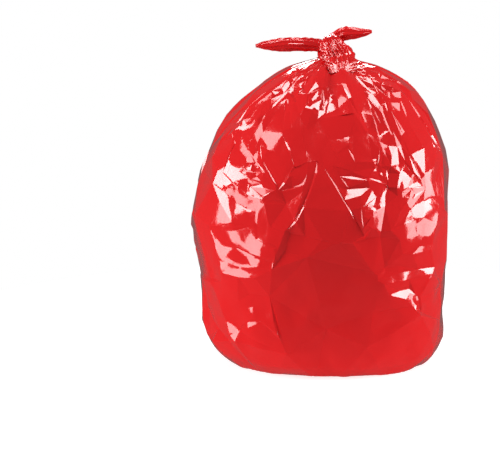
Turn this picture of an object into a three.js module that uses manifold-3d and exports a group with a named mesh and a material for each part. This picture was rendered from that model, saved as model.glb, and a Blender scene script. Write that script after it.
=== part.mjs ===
// A refuse sack of thin glossy red film, filled with loose waste and tied in a knot at the neck.
// The sack, its knot and its two tails are one piece of film, so the model is one closed solid.
// Millimetres, +Z up. The origin is on the floor, in the middle of the sack's box. The front is -Y.
import * as THREE from "three";
import { LoftGeometry } from "three/addons/geometries/LoftGeometry.js";
import { mergeVertices } from "three/addons/utils/BufferGeometryUtils.js";
import Module from "manifold-3d";

// The sack's main sizes. The other places and sizes on the body are shares of these.
const BODY_WIDTH = 474; // across the belly, side to side
const BODY_DEPTH = 428; // through the belly, front to back
const THROAT_HEIGHT = 578; // from the floor to where the knot bites
const THROAT_REACH = 18; // from the middle of the throat to its side
const NECK_REACH = 15; // the same for the film inside the knot, above the throat
const NECK_LENGTH = 24; // how far that film runs on above the throat

// The body's outline, from the floor up. The height is a share of the throat's. The width and the
// depth are shares of the body's, and the centre is that share of the width to the right.
const STATIONS = [
  { height: 0, centre: 0.03, width: 0.768, depth: 0.71 }, // foot, flat on the floor
  { height: 0.019, centre: 0.036, width: 0.848, depth: 0.827 }, // turn of the heel
  { height: 0.066, centre: 0.03, width: 0.911, depth: 0.921 },
  { height: 0.149, centre: 0.015, width: 0.958, depth: 0.972 },
  { height: 0.284, centre: 0.006, width: 0.983, depth: 1 },
  { height: 0.464, centre: -0.002, width: 1, depth: 1 }, // belly
  { height: 0.599, centre: 0.018, width: 0.973, depth: 0.953 },
  { height: 0.689, centre: 0.03, width: 0.928, depth: 0.874 }, // shoulder
  { height: 0.768, centre: 0.032, width: 0.857, depth: 0.752 },
  { height: 0.837, centre: 0.046, width: 0.747, depth: 0.636 },
  { height: 0.9, centre: 0.059, width: 0.599, depth: 0.495 },
  { height: 0.943, centre: 0.055, width: 0.435, depth: 0.364 },
  { height: 0.978, centre: 0.051, width: 0.236, depth: 0.206 }, // collar, gathered below the knot
];
const THROAT_SHIFT = 0.053; // how far right of the body's middle the throat is, as a share of the width
const PLAN_POWER = 2.35; // 2 is an ellipse in plan, more is squarer
const RING_POINTS = 75;
const RING_STEP = 17; // height between the body's rings, about

// Gathers that run down from the knot and fade out over the shoulders.
const GATHERS = 15;
const GATHER_SHARE = 0.15; // depth of a gather at the throat, as a share of the reach there
const GATHER_SPAN = 0.372; // how far below the throat they have faded out, as a share of its height

// Hard corners of the contents that stand out under the film, and the hollows between them, with
// the reach below zero. The turn is in degrees from the front, to the right. The height is a share
// of the throat's, the rest are shares of the width.
const CORNERS = [
  { turn: -62, height: 0.68, reach: 0.018, spread: 0.18 }, // the left shoulder's corner
  { turn: -56, height: 0.87, reach: 0.013, spread: 0.13 },
  { turn: -64, height: 0.53, reach: 0.021, spread: 0.17 },
  { turn: -14, height: 0.42, reach: 0.016, spread: 0.17 },
  { turn: 8, height: 0.51, reach: 0.028, spread: 0.18 }, // the peak of the front
  { turn: 40, height: 0.455, reach: 0.015, spread: 0.18 },
  { turn: 66, height: 0.41, reach: 0.021, spread: 0.19 },
  { turn: 48, height: 0.7, reach: 0.015, spread: 0.17 },
  { turn: 60, height: 0.9, reach: 0.006, spread: 0.12 },
  { turn: -62, height: 0.08, reach: 0.015, spread: 0.14 }, // the left foot's corner
  { turn: -27, height: 0.14, reach: 0.009, spread: 0.14 },
  { turn: -52, height: 0.24, reach: -0.012, spread: 0.17 }, // a hollow above it
  { turn: -90, height: 0.28, reach: -0.011, spread: 0.16 },
  { turn: -50, height: 0.44, reach: -0.009, spread: 0.12 },
  { turn: 42, height: 0.6, reach: -0.007, spread: 0.15 },
  { turn: 112, height: 0.61, reach: 0.019, spread: 0.19 },
  { turn: 150, height: 0.36, reach: 0.021, spread: 0.2 },
  { turn: 196, height: 0.64, reach: 0.019, spread: 0.19 },
  { turn: 232, height: 0.33, reach: 0.021, spread: 0.2 },
  { turn: 262, height: 0.57, reach: 0.019, spread: 0.18 },
];

// The knot: a half knot, whose two turns of gathered film cross each other round the throat.
const TURN_THICKNESS = 25;
const TURN_TILT = 26; // degrees, how steeply each turn climbs round the throat
const TURN_POINTS = 10;
const TURN_STEPS = 22;
const TURN_GRIP = 3; // how far outside the throat the middle of a turn's section runs

// The two tails, the tied-off halves of the sack's mouth.
const LEFT_TAIL = { length: 147, climb: -2, arch: 6, lean: -16, width: 26, thickness: 17 };
const RIGHT_TAIL = { length: 66, climb: 14, arch: 13, lean: -8, width: 25, thickness: 17 };
const TAIL_ROOT = 12; // how far past the middle of the knot a tail starts
const TAIL_POINTS = 12;
const TAIL_STEPS = 11;
const TAIL_TIP_SHARE = 0.24; // width at the tip, as a share of the widest

const MERGE_GAP = 1e-3; // points closer than this are one point

const FILM_RED = new THREE.Color(0.74, 0.022, 0.026);
const FILM_ROUGHNESS = 0.16;

const wasm = await Module();
wasm.setup();

const throatCentre = THROAT_SHIFT * BODY_WIDTH;
const knotCentre = new THREE.Vector3(throatCentre, 0, THROAT_HEIGHT + TURN_THICKNESS / 3);

// The outline's levels in millimetres: height, centre, half width and half depth of each.
const levels = [
  ...STATIONS.map((s) => [
    s.height * THROAT_HEIGHT,
    s.centre * BODY_WIDTH,
    (s.width * BODY_WIDTH) / 2,
    (s.depth * BODY_DEPTH) / 2,
  ]),
  [THROAT_HEIGHT, throatCentre, THROAT_REACH, THROAT_REACH],
  [THROAT_HEIGHT + NECK_LENGTH, throatCentre, NECK_REACH, NECK_REACH],
];
const topHeight = THROAT_HEIGHT + NECK_LENGTH;

// Centre, half width and half depth at any height, smoothly through the levels.
const outline = new THREE.CubicInterpolant(
  new Float32Array(levels.map(([height]) => height)),
  new Float32Array(levels.flatMap(([, centre, width, depth]) => [centre, width, depth])),
  3,
);

// How far the film stands out at a corner of the contents: a tent that falls away over its spread.
function cornerReach(angle, height, radius) {
  let reach = 0;
  for (const corner of CORNERS) {
    const turned = angle - THREE.MathUtils.degToRad(corner.turn - 90);
    const around = Math.atan2(Math.sin(turned), Math.cos(turned)) * radius;
    const above = height - corner.height * THROAT_HEIGHT;
    const away = Math.hypot(around, above) / (corner.spread * BODY_WIDTH);
    reach += corner.reach * BODY_WIDTH * Math.max(0, 1 - away);
  }
  return reach;
}

// One level ring of the sack's body.
function bodyRing(height) {
  const [centre, width, depth] = outline.evaluate(height);
  const below = 1 - height / THROAT_HEIGHT;
  const gathered = 1 - THREE.MathUtils.smoothstep(below, 0, GATHER_SPAN);
  return Array.from({ length: RING_POINTS }, (_, i) => {
    const angle = (i / RING_POINTS) * 2 * Math.PI;
    const c = Math.cos(angle);
    const s = Math.sin(angle);
    const x = width * Math.sign(c) * Math.abs(c) ** (2 / PLAN_POWER);
    const y = depth * Math.sign(s) * Math.abs(s) ** (2 / PLAN_POWER);
    const radius = Math.hypot(x, y);
    const fold = 0.5 - Math.abs(Math.cos((angle * GATHERS) / 2));
    const corner = height > 0 ? cornerReach(angle, height, radius) : 0;
    const stretch = 1 + 2 * GATHER_SHARE * gathered * fold + corner / radius;
    return new THREE.Vector3(centre + x * stretch, y * stretch, height);
  });
}

// A three.js geometry as a manifold-3d solid: one surface, with its shared points merged.
function solid(geometry) {
  const bare = new THREE.BufferGeometry()
    .setAttribute("position", geometry.getAttribute("position"))
    .setIndex(geometry.index);
  const merged = mergeVertices(bare, MERGE_GAP);
  return new wasm.Manifold(
    new wasm.Mesh({
      numProp: 3,
      vertProperties: merged.attributes.position.array,
      triVerts: new Uint32Array(merged.index.array),
    }),
  );
}

function body() {
  const rings = Math.round(topHeight / RING_STEP);
  const cuts = Array.from({ length: rings + 1 }, (_, i) => (i / rings) * topHeight);
  return solid(new LoftGeometry(cuts.map(bodyRing), { capStart: true, capEnd: true }));
}

// A closed turn of gathered film round the throat, tilted one way or the other.
function knotTurn(tilt) {
  const bend = THROAT_REACH + TURN_GRIP;
  const turn = new THREE.TorusGeometry(bend, TURN_THICKNESS / 2, TURN_POINTS, TURN_STEPS);
  turn.rotateY(THREE.MathUtils.degToRad(tilt));
  turn.translate(knotCentre.x, knotCentre.y, knotCentre.z);
  return solid(turn);
}

// The gathered film inside the knot, which the turns grip and the tails leave.
function knotCore() {
  const core = new THREE.SphereGeometry(THROAT_REACH + TURN_GRIP, 2 * TURN_POINTS, TURN_POINTS);
  core.translate(knotCentre.x, knotCentre.y, knotCentre.z + TURN_THICKNESS / 3);
  return solid(core);
}

// A tail: gathered film that leaves the knot sideways, is widest a third of the way out and
// narrows to a blunt tip. The side is -1 for the left tail and 1 for the right one.
function tail(side, { length, climb, arch, lean, width, thickness }) {
  const root = new THREE.Vector3(-side * TAIL_ROOT, 0, TURN_THICKNESS / 2).add(knotCentre);
  const tip = new THREE.Vector3(side * length, lean, TURN_THICKNESS / 2 + climb).add(knotCentre);
  const bend = root.clone().lerp(tip, 0.5).setZ(root.z + climb + arch);
  const path = new THREE.QuadraticBezierCurve3(root, bend, tip);
  const sections = Array.from({ length: TAIL_STEPS + 1 }, (_, i) => {
    const along = i / TAIL_STEPS;
    const centre = path.getPointAt(along);
    const forward = path.getTangentAt(along);
    const across = new THREE.Vector3(0, 0, 1).cross(forward).normalize();
    const up = forward.clone().cross(across);
    const swell = Math.sin(Math.PI * (0.25 + 0.75 * along)) ** 0.6;
    const share = TAIL_TIP_SHARE + (1 - TAIL_TIP_SHARE) * swell;
    return Array.from({ length: TAIL_POINTS }, (__, j) => {
      const angle = (j / TAIL_POINTS) * 2 * Math.PI;
      return centre
        .clone()
        .addScaledVector(across, (Math.cos(angle) * share * thickness) / 2)
        .addScaledVector(up, (Math.sin(angle) * share * width) / 2);
    });
  });
  return solid(new LoftGeometry(sections, { capStart: true, capEnd: true }));
}

// The whole sack as one solid, moved so that the middle of its box is over the origin.
function sackGeometry() {
  const joined = [
    body(),
    knotCore(),
    knotTurn(TURN_TILT),
    knotTurn(-TURN_TILT),
    tail(-1, LEFT_TAIL),
    tail(1, RIGHT_TAIL),
  ].reduce((sum, piece) => sum.add(piece));
  const { vertProperties, triVerts } = joined.getMesh();
  const geometry = new THREE.BufferGeometry()
    .setAttribute("position", new THREE.BufferAttribute(vertProperties, 3))
    .setIndex(new THREE.BufferAttribute(triVerts, 1));
  geometry.computeBoundingBox();
  const middle = geometry.boundingBox.getCenter(new THREE.Vector3());
  geometry.translate(-middle.x, -middle.y, -geometry.boundingBox.min.z);
  geometry.computeVertexNormals();
  return geometry;
}

const film = new THREE.MeshStandardMaterial({
  color: FILM_RED,
  roughness: FILM_ROUGHNESS,
  metalness: 0,
});
const binBag = new THREE.Mesh(sackGeometry(), film);
binBag.name = "bin_bag";

const sack = new THREE.Group();
sack.add(binBag);

export default sack;
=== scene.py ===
"""A filled and tied refuse sack of thin glossy red film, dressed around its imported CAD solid.

Metres, +Z up, the front is -Y. The film is laid out flat as it comes off the roll: "along" runs
round the sack from the middle of its front, to the right, and "up" runs from the foot to the neck.
Its folds are a net of straight creases with taut facets between them. The places of the front's
creases are read off the photograph, in its pixels, and carried through the camera to the film.
"""

import math

import bpy
import numpy as np
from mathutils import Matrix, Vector
from mathutils.bvhtree import BVHTree
from mathutils.geometry import delaunay_2d_cdt
from mathutils.kdtree import KDTree


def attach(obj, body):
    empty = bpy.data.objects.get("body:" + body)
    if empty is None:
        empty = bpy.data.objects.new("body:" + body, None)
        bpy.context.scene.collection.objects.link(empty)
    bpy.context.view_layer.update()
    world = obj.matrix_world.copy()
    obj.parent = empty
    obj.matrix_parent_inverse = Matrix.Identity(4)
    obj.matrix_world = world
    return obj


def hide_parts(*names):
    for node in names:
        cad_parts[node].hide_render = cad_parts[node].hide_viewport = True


SEED = 41
RANDOM = np.random.default_rng(SEED)

# The photograph, and the camera that sees the sack as it does.
PHOTO_WIDTH = 500
PHOTO_HEIGHT = 453
SENSOR = 0.036
LENS = 0.1217
CAMERA_LIFT = math.radians(10.0)  # how far above the horizon the camera stands
CAMERA_AWAY = 3.2
LOOKED_AT = np.array([-0.1329, 0.0, 0.2499])  # what the middle of the photograph shows

# The film, laid out flat.
GIRTH = 1.474
TURNS = 96  # places round the solid where its surface is found
LEVELS = 150  # and up it
LOWEST_LEVEL = 0.0015
FIRST_MIDDLE = 0.012  # where the search for the lowest level's middle starts
NO_REACH = 0.02  # the reach where no surface is found
HARMONICS = 12  # how many waves round the sack are kept of the solid's outline
ROWS = 700
ROW_BLUR = 7.0  # in rows
COLLAR_HEIGHT = 0.553  # where the film turns in under the knot
NECK = [(0.566, 0.034), (0.572, 0.019), (0.588, 0.015)]  # height and reach inside the knot
KNOT_AT = np.array([0.0265, 0.0, 0.583])

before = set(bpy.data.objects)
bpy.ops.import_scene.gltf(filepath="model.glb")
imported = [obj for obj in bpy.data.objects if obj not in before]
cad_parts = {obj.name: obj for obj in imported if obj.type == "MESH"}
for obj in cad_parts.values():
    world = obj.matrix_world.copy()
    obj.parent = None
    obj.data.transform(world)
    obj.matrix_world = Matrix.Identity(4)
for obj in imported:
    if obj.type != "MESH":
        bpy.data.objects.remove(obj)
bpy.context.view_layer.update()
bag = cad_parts["bin_bag"]


# Small helpers.


def unit(v):
    v = np.asarray(v, dtype=float)
    return v / np.maximum(np.linalg.norm(v, axis=-1, keepdims=True), 1e-12)


def smooth_step(x, low, high):
    x = np.clip((np.asarray(x, dtype=float) - low) / (high - low), 0.0, 1.0)
    return x * x * (3.0 - 2.0 * x)


def blurred(values, sigma):
    """The rows of an array, blurred along its first axis."""
    reach = int(3 * sigma) + 1
    taps = np.exp(-0.5 * (np.arange(-reach, reach + 1) / sigma) ** 2)
    taps /= taps.sum()
    padded = np.concatenate([np.repeat(values[:1], reach, 0), values, np.repeat(values[-1:], reach, 0)])
    return sum(w * padded[k : k + len(values)] for k, w in enumerate(taps))


# The camera's axes.
AHEAD = np.array([0.0, math.cos(CAMERA_LIFT), -math.sin(CAMERA_LIFT)])
ACROSS = np.array([1.0, 0.0, 0.0])
OVER = np.cross(ACROSS, AHEAD)
CAMERA_AT = LOOKED_AT - CAMERA_AWAY * AHEAD


def sight(x, y):
    """The direction in which the camera sees a pixel of the photograph."""
    pixel = SENSOR / LENS / PHOTO_WIDTH
    return unit(AHEAD + (x - PHOTO_WIDTH / 2) * pixel * ACROSS + (PHOTO_HEIGHT / 2 - y) * pixel * OVER)


# The lights. Azimuth is measured from the front, to the right.
class Box:
    """A softbox that faces a point in the sack."""

    def __init__(self, azimuth, elevation, away, width, height, power, aim=0.25):
        a = math.radians(azimuth)
        e = math.radians(elevation)
        self.way = np.array([math.sin(a) * math.cos(e), -math.cos(a) * math.cos(e), math.sin(e)])
        self.aim = np.array([0.0, 0.0, aim])
        self.at = self.aim + away * self.way
        self.width = width
        self.height = height
        self.power = power

    def make(self, name):
        lamp = bpy.data.lights.new(name, "AREA")
        lamp.shape = "RECTANGLE"
        lamp.size = self.width
        lamp.size_y = self.height
        lamp.energy = self.power
        holder = bpy.data.objects.new(name, lamp)
        holder.location = self.at
        holder.rotation_mode = "QUATERNION"
        holder.rotation_quaternion = Vector(-self.way).to_track_quat("-Z", "Y")
        holder.visible_camera = False
        bpy.context.collection.objects.link(holder)


LIGHTS = {
    "box_left": Box(-74, 21, 1.5, 0.66, 0.54, 10.5),
    "box_right": Box(78, 21, 1.5, 0.66, 0.54, 10.5),
    "box_over": Box(0, 72, 1.5, 0.62, 0.44, 8),
    "box_back": Box(180, 45, 1.7, 0.7, 0.5, 13),
}
DIM_LIGHTS = {
    "dim_left": Box(-73, -1, 1.5, 0.66, 0.4, 3.8),
    "dim_right": Box(84, -1, 1.5, 0.74, 0.4, 4.2),
    "dim_high_left": Box(-62, 50, 1.5, 0.4, 0.36, 2.2),
    "dim_high_right": Box(64, 50, 1.5, 0.4, 0.36, 2.2),
}


# The smooth sack under the folds.


class Sack:
    """The CAD solid's outline, smoothed: where the film would be without any fold."""

    def __init__(self, node):
        mesh = node.data
        tree = BVHTree.FromPolygons([v.co for v in mesh.vertices], [p.vertices for p in mesh.polygons])
        heights = np.linspace(LOWEST_LEVEL, COLLAR_HEIGHT, LEVELS)
        turns = np.arange(TURNS) * 2 * math.pi / TURNS
        centres = np.zeros(LEVELS)
        reach = np.zeros((LEVELS, TURNS))
        middle = FIRST_MIDDLE
        for j, z in enumerate(heights):
            for _ in range(2):
                for i, turn in enumerate(turns):
                    way = Vector((math.sin(turn), -math.cos(turn), 0.0))
                    reach[j, i] = tree.ray_cast(Vector((middle, 0.0, z)), way)[3] or NO_REACH
                middle += 0.5 * (reach[j, TURNS // 4] - reach[j, 3 * TURNS // 4])
            centres[j] = middle
        spectrum = np.fft.rfft(reach, axis=1) / TURNS
        spectrum[:, 1:] *= 2
        spectrum = spectrum[:, : HARMONICS + 1]
        table = np.column_stack([heights, centres, spectrum.real, spectrum.imag])
        neck = np.zeros((len(NECK), table.shape[1]))
        neck[:, 0] = [z for z, _ in NECK]
        neck[:, 1] = KNOT_AT[0]
        neck[:, 2] = [reach for _, reach in NECK]
        table = np.vstack([table, neck])
        run = np.hypot(np.diff(table[:, 2]), np.diff(table[:, 0]))
        along = np.concatenate([[0.0], np.cumsum(run)])
        self.length = along[-1]
        self.rows = np.linspace(0.0, self.length, ROWS)
        columns = range(table.shape[1])
        self.table = np.column_stack([np.interp(self.rows, along, table[:, k]) for k in columns])
        self.table = blurred(self.table, ROW_BLUR)
        self.narrowing = self.table[:, 2] / self.table[:, 2].max()

    def place(self, along, up):
        """Points of the unfolded film, from how far round and how far up they are."""
        up = np.clip(up, 0.0, self.length)
        turn = np.asarray(along) * 2 * math.pi / GIRTH
        row = [np.interp(up, self.rows, self.table[:, k]) for k in range(self.table.shape[1])]
        reach = row[2].copy()
        for k in range(1, HARMONICS + 1):
            reach = reach + row[2 + k] * np.cos(k * turn) - row[3 + HARMONICS + k] * np.sin(k * turn)
        return np.stack([row[1] + reach * np.sin(turn), -reach * np.cos(turn), row[0]], axis=-1)

    def axes(self, along, up):
        """At each point: the way round, the way up, the way out, and how much is left of the girth."""
        step = 0.002
        lower = np.clip(np.asarray(up) - step, 0.0, self.length)
        upper = np.clip(np.asarray(up) + step, 0.0, self.length)
        go_round = (self.place(along + step, up) - self.place(along - step, up)) / (2 * step)
        rise = np.maximum(upper - lower, 1e-9)[..., None]
        go_up = (self.place(along, upper) - self.place(along, lower)) / rise
        stretch = np.linalg.norm(go_round, axis=-1)
        out = unit(np.cross(go_round, go_up))
        return unit(go_round), unit(go_up), out, stretch

    def share(self, up):
        """How much of the girth the sack still has at a height up the film."""
        return np.interp(up, self.rows, self.narrowing)


sack = Sack(bag)
PULL_TO = (320.0, 200.0)  # a pixel near the middle of the sack
PULL_STEPS = 400  # a pixel that misses the sack is moved there in so many steps


def sight_finder(stand):
    """A function from a pixel of the photograph to its place on the film, along and up.

    The film stands out by stand(places), which is None for the film without folds."""
    columns = 240
    rows = 200
    along = np.linspace(-GIRTH / 2, GIRTH / 2, columns + 1)
    up = np.linspace(0.0, sack.length, rows + 1)
    grid_along, grid_up = np.meshgrid(along, up)
    flat = np.stack([grid_along, grid_up], axis=-1).reshape(-1, 2)
    points = sack.place(flat[:, 0], flat[:, 1])
    if stand is not None:
        points = points + stand(flat)[:, None] * sack.axes(flat[:, 0], flat[:, 1])[2]
    wide = columns + 1
    quads = [
        (j * wide + i, j * wide + i + 1, (j + 1) * wide + i + 1, (j + 1) * wide + i)
        for j in range(rows)
        for i in range(columns)
    ]
    tree = BVHTree.FromPolygons([Vector(p) for p in points], quads)

    def find(x, y):
        for pull in range(PULL_STEPS):
            share = pull / PULL_STEPS
            seen = sight(x + share * (PULL_TO[0] - x), y + share * (PULL_TO[1] - y))
            hit, _, face, _ = tree.ray_cast(Vector(CAMERA_AT), Vector(seen))
            if hit is not None:
                break
        corners = quads[face]
        a, b, d = (points[corners[k]] for k in (0, 1, 3))
        offset = np.array(hit) - a
        share_along = np.dot(offset, b - a) / np.dot(b - a, b - a)
        share_up = np.dot(offset, d - a) / np.dot(d - a, d - a)
        start = flat[corners[0]]
        return start + np.array([share_along * (along[1] - along[0]), share_up * (up[1] - up[0])])

    return find


# What the photograph shows.

# Each strip is a long narrow facet: its tone, its width in pixels, and the line down its middle.
# The tone says what it mirrors: "white" a bright softbox, "pink" a dim one.
STRIPS = {
    "left_ridge": ("white", 2.8, [(305, 67), (291, 76), (271, 90.5), (250, 108), (236, 124)]),
    "left_ridge_low": ("white", 2.0, [(236, 124), (222, 140), (213, 155)]),
    "left_upper_ridge": ("pink", 2.2, [(309, 61), (290, 72), (270, 82.5)]),
    "left_second_ridge": ("white", 2.0, [(300, 76), (290, 85), (284, 95), (272, 107.5), (265, 113)]),
    "left_corner_band": ("white", 2.0, [(257, 119.5), (246, 125.5), (235, 130)]),
    "left_rib": ("pink", 2.6, [(258, 129), (257, 141), (253, 156)]),
    "left_long_crease": ("pink", 1.6, [(241, 137), (253, 158), (265, 173), (276, 189)]),
    "left_small_bar": ("pink", 1.8, [(260, 145), (268, 149), (275, 152)]),
    "left_inner_facet": ("pink", 3.0, [(287, 97), (291, 111), (291.5, 128)]),
    "left_inner_edge": ("pink", 1.6, [(286.5, 99), (285, 118)]),
    "neck_line_left": ("white", 1.8, [(288, 92), (295, 103), (299, 113)]),
    "wide_band": ("white", 4.2, [(299, 117), (305, 130), (312, 145), (317, 161)]),
    "band_shadow_line": ("pink", 1.4, [(301, 131), (306, 150), (308, 162)]),
    "tapered_line": ("white", 2.4, [(282, 135), (288, 146), (293, 158), (296, 167)]),
    "node_line": ("white", 2.0, [(296, 168), (290, 175), (284, 183), (278, 190)]),
    "node_ridge": ("white", 3.0, [(247, 178), (262, 183), (275, 191)]),
    "long_ridge": ("white", 2.4, [(227, 188), (240, 190.5), (262, 199), (286, 204)]),
    "triangle_left": (
        "pink",
        2.2, [(317, 162), (316, 172), (311, 188), (303, 208), (295, 222), (287, 231)],
    ),
    "triangle_left_inner": ("pink", 1.8, [(281, 191), (292, 189), (303, 184), (307, 175)]),
    "small_upright": ("pink", 1.8, [(259, 201), (257.5, 212), (256, 225)]),
    "small_level": ("pink", 1.6, [(257, 227), (270, 229.5), (285, 231)]),
    "silver_fold": ("pink", 2.0, [(210, 229), (222, 226.5), (233, 223.5)]),
    "limb_line": ("white", 1.8, [(210, 151), (204, 163), (200, 177)]),
    "main_ridge": ("white", 3.4, [(342, 83), (350, 98), (360, 114), (369, 127), (377, 137)]),
    "main_return": ("white", 2.4, [(378, 137), (385, 132), (391, 130)]),
    "right_arch": (
        "white",
        2.4, [(352, 73), (361, 82), (373, 92), (385, 101), (387, 112), (388, 122), (390, 129)],
    ),
    "right_vee": ("white", 1.8, [(362, 88), (370, 99), (378, 109)]),
    "right_vee_return": ("pink", 1.8, [(378.5, 108.5), (385, 103)]),
    "right_upper": ("pink", 1.8, [(361, 76), (374, 85), (385, 94)]),
    "right_lower_line": ("pink", 2.0, [(378, 139), (384, 152), (391, 166)]),
    "right_long_line": ("pink", 1.8, [(391, 110), (402, 135), (410, 155), (422, 185)]),
    "right_second_line": ("pink", 1.4, [(393, 114), (404, 132), (415, 142)]),
    "right_limb_ridge": ("pink", 1.8, [(409, 99), (421, 118), (432, 135), (442, 155)]),
    "right_limb_second": ("pink", 1.4, [(413, 97), (427, 115), (437, 135)]),
    "slit_line": ("pink", 1.8, [(348, 148), (352, 155), (355, 162)]),
    "level_ridge": ("white", 2.6, [(340, 176.5), (352, 178), (368, 179.5), (382, 182), (388, 186)]),
    "level_ridge_foot": ("pink", 1.6, [(341, 178), (345, 183), (348, 188)]),
    "right_node": ("pink", 1.6, [(388, 173), (389, 187)]),
    "low_ridge": ("white", 2.2, [(342, 242), (353, 242.5), (366, 239), (380, 236.5)]),
    "low_bar_right": ("pink", 1.6, [(372, 228), (381, 231)]),
    "triangle_right": ("pink", 1.4, [(324, 168), (336, 187), (350, 211), (364, 236)]),
    "low_left_edge": ("pink", 1.8, [(270, 296), (277, 320), (282, 340), (287, 352)]),
    "low_faint": ("pink", 1.2, [(290, 233), (305, 237), (322, 240), (338, 243)]),
    "low_faint_second": ("pink", 1.4, [(285, 252), (296, 255), (307, 257.5)]),
    "window_rim": ("pink", 1.6, [(257, 239), (268, 243), (279, 247.5)]),
    "soft_upright": ("pink", 1.6, [(373, 312), (369, 330), (366, 346)]),
    "soft_middle": ("pink", 1.2, [(328, 140), (336, 153), (342, 168)]),
    "neck_bar": ("pink", 1.4, [(344, 113), (354, 113)]),
    "foot_line": ("pink", 1.6, [(223, 309), (228, 322), (231, 335)]),
    "foot_line_second": ("pink", 1.4, [(244, 322), (240, 331), (237, 340)]),
    "neck_speck": ("pink", 1.6, [(314, 78), (318, 87)]),
    "left_bundle_high": ("pink", 1.8, [(318, 57), (303, 63), (290, 68.5)]),
    "left_bundle_middle": ("white", 1.8, [(317, 64), (304, 70.5), (294, 76)]),
    "left_bundle_low": ("pink", 1.6, [(316, 70), (307, 77), (298, 84)]),
    "right_bundle_high": ("pink", 1.8, [(381, 77), (397, 82), (410, 90)]),
    "right_bundle_middle": ("white", 1.8, [(357, 76), (368, 80), (381, 85), (392, 89)]),
    "right_bundle_low": ("pink", 1.6, [(366, 86), (378, 91), (390, 98)]),
    "neck_fold_right": ("pink", 2.2, [(354, 66), (365, 65), (376, 67)]),
    "neck_fold_right_low": ("white", 2.2, [(357, 71), (368, 73.5), (379, 74)]),
}

# Each facet is a patch between creases, by its corners.
FACETS = {
    "left_big": ("white", [(213, 157), (231, 166), (247, 178), (236, 181), (225, 187), (218, 171)]),
    "left_small": ("white", [(265, 113), (262, 121), (258, 127), (247, 129.5), (240, 130), (257, 119.5)]),
    "middle_small": ("white", [(286, 204), (302, 192), (300, 203), (297, 212)]),
    "arch_left": ("white", [(305, 108), (308, 94), (322, 88), (323, 111), (311, 110)]),
    "arch_right": ("white", [(330, 97), (338, 99), (339, 108), (327, 114)]),
    "right_tall": ("white", [(393, 131), (397, 146), (399, 164), (392, 156), (389, 146)]),
    "slit": ("white", [(351, 131), (354, 135), (349, 144), (349, 137)]),
    "under_level_ridge": ("white", [(345, 200), (347, 190), (370, 188), (372, 191), (360, 196)]),
    "crinkled_band": ("white", [(388, 188), (376, 198), (361, 208), (363, 228), (373, 214), (385, 206)]),
    "right_head": (
        "white",
        [(405, 163), (400, 172), (397, 188), (402, 192), (412, 188), (423, 187), (414, 175)],
    ),
    "right_big": (
        "white",
        [(424, 190), (410, 210), (391, 231), (404, 224), (424, 218), (436, 224), (437, 206), (431, 196)],
    ),
    "window_top": (
        "pink",
        [(234, 231), (256, 239), (274, 249), (275, 257), (270, 259), (250, 253), (232, 241)],
    ),
    "window_middle": (
        "pink",
        [(222, 245), (236, 247), (256, 257), (272, 262), (272, 269), (255, 267), (222, 258)],
    ),
    "window_low": ("pink", [(221, 262), (240, 269), (256, 272), (255, 278), (238, 277), (222, 272)]),
    "right_window": (
        "white",
        [(378, 281), (400, 273), (418, 269), (434, 267), (432, 273), (410, 279), (384, 284)],
    ),
    "low_right": ("white", [(389, 295), (400, 291), (410, 289), (406, 299)]),
    "left_slope": ("pink", [(232, 133), (241, 136), (253, 157), (257, 166), (247, 163), (239, 149)]),
    "under_long_ridge": ("pink", [(229, 190), (260, 200), (258, 212), (246, 209), (236, 200)]),
    "shoulder": ("pink", [(291, 82), (298, 80), (300, 88), (293, 92)]),
    "right_spot": ("pink", [(392, 93), (400, 92), (401, 98), (395, 97)]),
    "right_spot_low": ("pink", [(391, 104), (399, 103), (400, 112), (394, 110)]),
    "between_ridges": ("pink", [(250, 187), (263, 188), (271, 192), (262, 196)]),
    "ripple_top": ("pink", [(400, 240), (415, 228), (431, 229), (430, 236), (410, 244)]),
    "ripple_middle": ("pink", [(403, 254), (420, 246), (432, 243), (431, 249), (412, 254)]),
    "ripple_low": ("pink", [(373, 272), (385, 268), (401, 266), (386, 272), (378, 276)]),
    "low_left": (
        "pink",
        [(238, 301), (250, 294), (262, 295), (274, 322), (278, 333), (262, 321), (250, 310)],
    ),
    "limb_low": ("white", [(203, 309), (208, 311), (211, 335), (206, 328)]),
    "foot_triangle": ("pink", [(215, 340), (219, 328), (232, 340)]),
}

# Facets that keep clear of every softbox, by their corners.
DARK_FACETS = {
    "left_flank": [
        (198, 182), (214, 184), (226, 194), (236, 203), (246, 212),
        (252, 216), (252, 226), (232, 222), (210, 226), (197, 226),
    ],
    "left_hollow": [
        (262, 124), (276, 112), (283, 104), (283, 132), (290, 150),
        (294, 166), (284, 178), (276, 184), (262, 160), (260, 140),
    ],
    "middle_hollow": [
        (318, 119), (338, 116), (354, 114), (368, 134), (380, 150),
        (376, 168), (352, 172), (332, 166), (321, 152), (313, 130),
    ],
    "right_streaks": [
        (402, 118), (413, 130), (424, 148), (434, 168), (432, 186),
        (424, 184), (414, 172), (405, 160), (401, 145),
    ],
    "left_shoulder": [(236, 116), (262, 95), (282, 84), (280, 92), (262, 108), (244, 120)],
    "neck_recess": [(318, 72), (332, 70), (347, 74), (346, 84), (330, 86), (316, 82)],
}

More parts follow.
